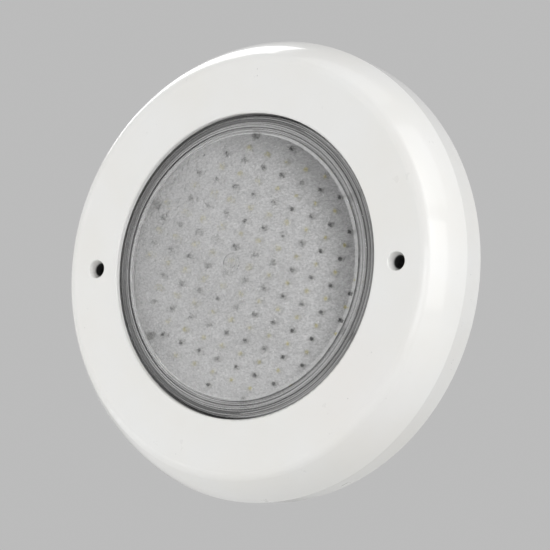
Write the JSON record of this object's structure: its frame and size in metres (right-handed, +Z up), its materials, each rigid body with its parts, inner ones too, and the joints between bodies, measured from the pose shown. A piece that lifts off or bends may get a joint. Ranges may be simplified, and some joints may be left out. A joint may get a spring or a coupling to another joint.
{
  "type": "surface-mounted underwater pool light",
  "caption": "Round white surface-mounted pool light: sloping face ring with two screw holes, clear domed lens over an LED board, sealed lamp body and rear cable gland.",
  "frame": {"origin": "midway between the two wall-screw holes, on the plane of the wall that the face ring stands on", "axes": "+Z up, -Y out of the wall (the way the light faces), +X to the right as seen from the front"},
  "size_m": [0.29, 0.0729, 0.29],
  "materials": {
    "white_abs": "smooth glossy moulded plastic with faint specks",
    "white_abs_body": "satin moulded plastic",
    "clear_polycarbonate": "clear, with a pebbled inner face and a polished rim",
    "stainless_steel": "bright stainless",
    "epdm_rubber": "moulded",
    "brass_insert": "turned and knurled",
    "white_board": "white solder mask",
    "phosphor_led": "white package, yellow phosphor",
    "dark_led": "white package, clear dark window",
    "nylon_natural": "natural nylon",
    "lead_insulation": "soft insulation",
    "circuit_board": "green solder mask",
    "ferrite": "sintered",
    "copper_winding": "enamelled copper",
    "capacitor_can": "sleeved can",
    "black_epoxy": "moulded epoxy",
    "terminal_green": "moulded",
    "black_nylon": "moulded nylon, satin"
  },
  "bodies": {
    "lamp_unit": {"face_ring": "white_abs", "lens": "clear_polycarbonate", "lens_clamp_ring": "stainless_steel", "lens_clamp_screws": "stainless_steel", "lens_gasket": "epdm_rubber", "lens_screw_inserts": "brass_insert", "lamp_body": "white_abs_body", "body_screws": "stainless_steel", "led_board": "white_board", "white_leds": "phosphor_led", "colour_leds": "dark_led", "led_board_screws": "stainless_steel", "led_connector": "nylon_natural", "led_leads": "lead_insulation", "driver_board": "circuit_board", "driver_board_screws": "stainless_steel", "inductor_core": "ferrite", "inductor_winding": "copper_winding", "capacitors": "capacitor_can", "bridge_rectifier": "black_epoxy", "driver_chip": "black_epoxy", "terminal_block": "terminal_green", "terminal_screws": "stainless_steel", "gland_body": "black_nylon", "gland_o_ring": "epdm_rubber", "gland_lock_nut": "black_nylon", "gland_seal": "epdm_rubber"},
    "gland_cage": {"gland_cage": "nylon_natural"},
    "gland_nut": {"gland_nut": "black_nylon"}
  },
  "joints": [
    {"name": "cage_slide", "type": "slide", "parent": "lamp_unit", "child": "gland_cage", "axis": [0, 1, 0], "range_m": [0, 0.003]},
    {"name": "nut_turn", "type": "hinge", "parent": "gland_cage", "child": "gland_nut", "pos_m": [0, 0.01, 0], "axis": [0, 1, 0], "range_deg": [0, 720]}
  ],
  "couplings": [
    {"joint": "cage_slide", "follows": "nut_turn", "m_per_rad": 0.00023873}
  ]
}
